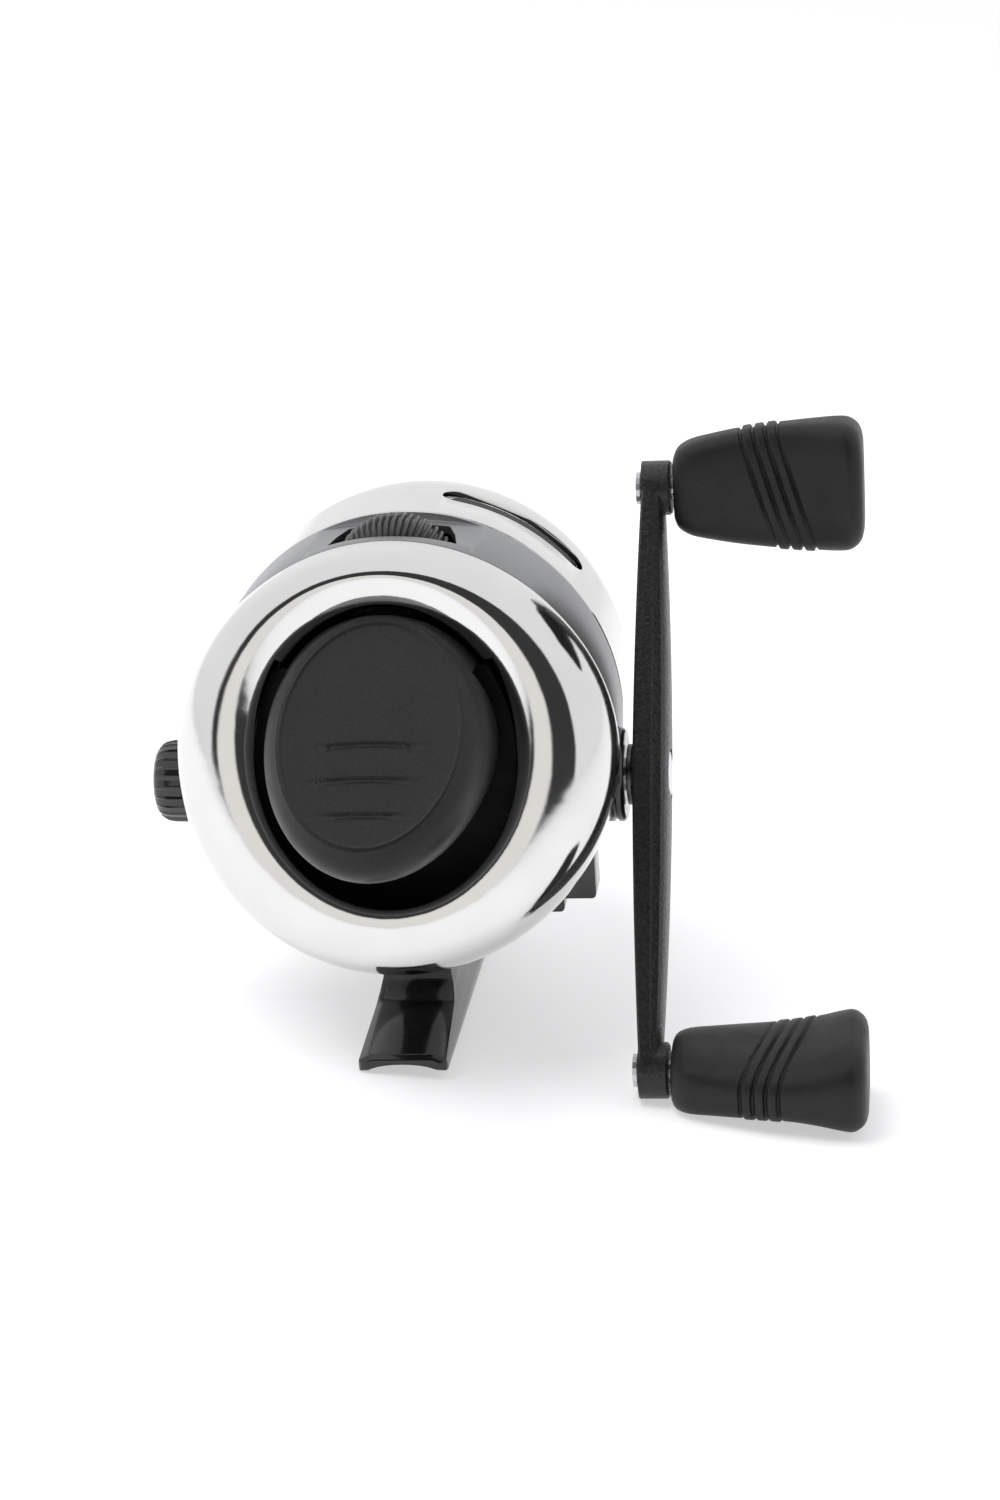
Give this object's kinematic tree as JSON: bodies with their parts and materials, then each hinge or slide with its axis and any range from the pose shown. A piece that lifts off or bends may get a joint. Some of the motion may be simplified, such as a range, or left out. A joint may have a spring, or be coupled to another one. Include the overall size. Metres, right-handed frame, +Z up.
{
  "type": "spincast reel",
  "caption": "Closed-face spincast fishing reel with a polished body, thumb button, double-ended crank, drag wheel, anti-reverse tab and rod foot, over a working geared spinner, spool and drag.",
  "frame": {"origin": "middle of the flat underside of the foot", "axes": "+Y forward along the spool axis to the nose, +X to the crank, +Z up from the foot through the body"},
  "size_m": [0.1083, 0.1, 0.0935],
  "materials": {
    "polished_chrome": "mirror-polished plating",
    "polished_steel": "polished hard steel",
    "band_grey": "satin dark grey plating",
    "satin_black": "satin moulded plastic",
    "gloss_black": "glossy moulded plastic",
    "crank_black": "black powder coat on cast metal",
    "knob_black": "fine leather-grained soft grip",
    "steel": "bright steel",
    "brass": "machined brass",
    "cast_zinc": "die-cast, as cast",
    "white_acetal": "white engineering plastic",
    "felt": "oiled felt",
    "line": "wound monofilament"
  },
  "bodies": {
    "body": {"main_frame": "cast_zinc", "body_band": "band_grey", "rear_cover": "polished_chrome", "foot": "gloss_black", "foot_screw_1": "steel", "foot_screw_2": "steel", "frame_screw_1": "steel", "frame_screw_2": "steel", "frame_screw_3": "steel", "rear_plate": "gloss_black", "plate_screw_1": "steel", "plate_screw_2": "steel", "crank_bushing_right": "gloss_black", "crank_bushing_left": "gloss_black", "pinion_bushing": "brass", "spool_clip": "steel", "drag_washer": "felt", "drag_leaf": "steel", "pawl_pin": "steel"},
    "crank": {"crank_shaft": "steel", "crank_arm": "crank_black", "crank_screw": "steel", "hub_spacer": "steel", "shaft_cap": "gloss_black", "shaft_circlip": "steel", "drive_gear": "brass", "ratchet_wheel": "steel", "knob_spindle_top": "steel", "knob_spindle_bottom": "steel"},
    "knob_top": {"knob_top": "knob_black"},
    "knob_bottom": {"knob_bottom": "knob_black"},
    "pinion": {"pinion_gear": "brass", "pinion_clip": "steel"},
    "spinner": {"centre_shaft": "steel", "shaft_collar": "steel", "shaft_spring": "steel", "spinner_head": "steel", "spinner_nut": "brass"},
    "pickup_pin_1": {"pickup_pin_1": "steel"},
    "pickup_pin_2": {"pickup_pin_2": "steel"},
    "button": {"thumb_button": "satin_black"},
    "spool": {"spool": "white_acetal", "line_pack": "line"},
    "drag_wheel": {"drag_wheel": "satin_black", "drag_screw": "steel"},
    "anti_reverse_lever": {"anti_reverse_lever": "gloss_black"},
    "ratchet_pawl": {"ratchet_pawl": "steel"},
    "front_cover": {"front_cover": "polished_chrome", "grip_insert_1": "satin_black", "grip_insert_2": "satin_black", "grip_insert_3": "satin_black", "nose_ring": "polished_steel"}
  },
  "joints": [
    {"name": "crank_turn", "type": "hinge", "parent": "body", "child": "crank", "pos_m": [0, -0.0072, 0.0374], "axis": [1, 0, 0], "continuous": true},
    {"name": "knob_top_spin", "type": "hinge", "parent": "crank", "child": "knob_top", "pos_m": [0.054, 0.01642, 0.07535], "axis": [1, 0, 0], "continuous": true},
    {"name": "knob_bottom_spin", "type": "hinge", "parent": "crank", "child": "knob_bottom", "pos_m": [0.054, -0.03082, -0.00055], "axis": [1, 0, 0], "continuous": true},
    {"name": "pinion_spin", "type": "hinge", "parent": "body", "child": "pinion", "pos_m": [0, -0.012, 0.0445], "axis": [0, 1, 0], "continuous": true},
    {"name": "button_press", "type": "slide", "parent": "body", "child": "button", "axis": [0, 1, 0], "range_m": [0, 0.005], "stiffness_N_per_m": 1000, "springref_m": -0.002},
    {"name": "spinner_slide", "type": "slide", "parent": "pinion", "child": "spinner", "axis": [0, 1, 0], "range_m": [0, 0.005], "deforming": ["shaft_spring"]},
    {"name": "pickup_pin_1_slide", "type": "slide", "parent": "spinner", "child": "pickup_pin_1", "axis": [-1, 0, 0], "range_m": [0, 0.0024]},
    {"name": "pickup_pin_2_slide", "type": "slide", "parent": "spinner", "child": "pickup_pin_2", "axis": [1, 0, 0], "range_m": [0, 0.0024]},
    {"name": "spool_turn", "type": "hinge", "parent": "body", "child": "spool", "pos_m": [0, -0.012, 0.0445], "axis": [0, 1, 0], "continuous": true},
    {"name": "drag_wheel_turn", "type": "hinge", "parent": "body", "child": "drag_wheel", "pos_m": [0, -0.012, 0.0689], "axis": [0, 1, 0], "range_deg": [-140, 140]},
    {"name": "anti_reverse_turn", "type": "hinge", "parent": "body", "child": "anti_reverse_lever", "pos_m": [0, -0.012, 0.0445], "axis": [0, 1, 0], "range_deg": [0, 10]},
    {"name": "pawl_swing", "type": "hinge", "parent": "body", "child": "ratchet_pawl", "pos_m": [0.00975, -0.00026, 0.02538], "axis": [1, 0, 0], "range_deg": [-12, 0]},
    {"name": "front_cover_off", "type": "slide", "parent": "body", "child": "front_cover", "axis": [0, 1, 0], "range_m": [0, 0.06]}
  ],
  "couplings": [
    {"joint": "pinion_spin", "follows": "crank_turn", "ratio": -3.6},
    {"joint": "spinner_slide", "follows": "button_press", "ratio": 1},
    {"joint": "pickup_pin_1_slide", "follows": "button_press", "ratio": 0.48},
    {"joint": "pickup_pin_2_slide", "follows": "button_press", "ratio": 0.48},
    {"joint": "pawl_swing", "follows": "anti_reverse_turn", "ratio": -1.2}
  ]
}
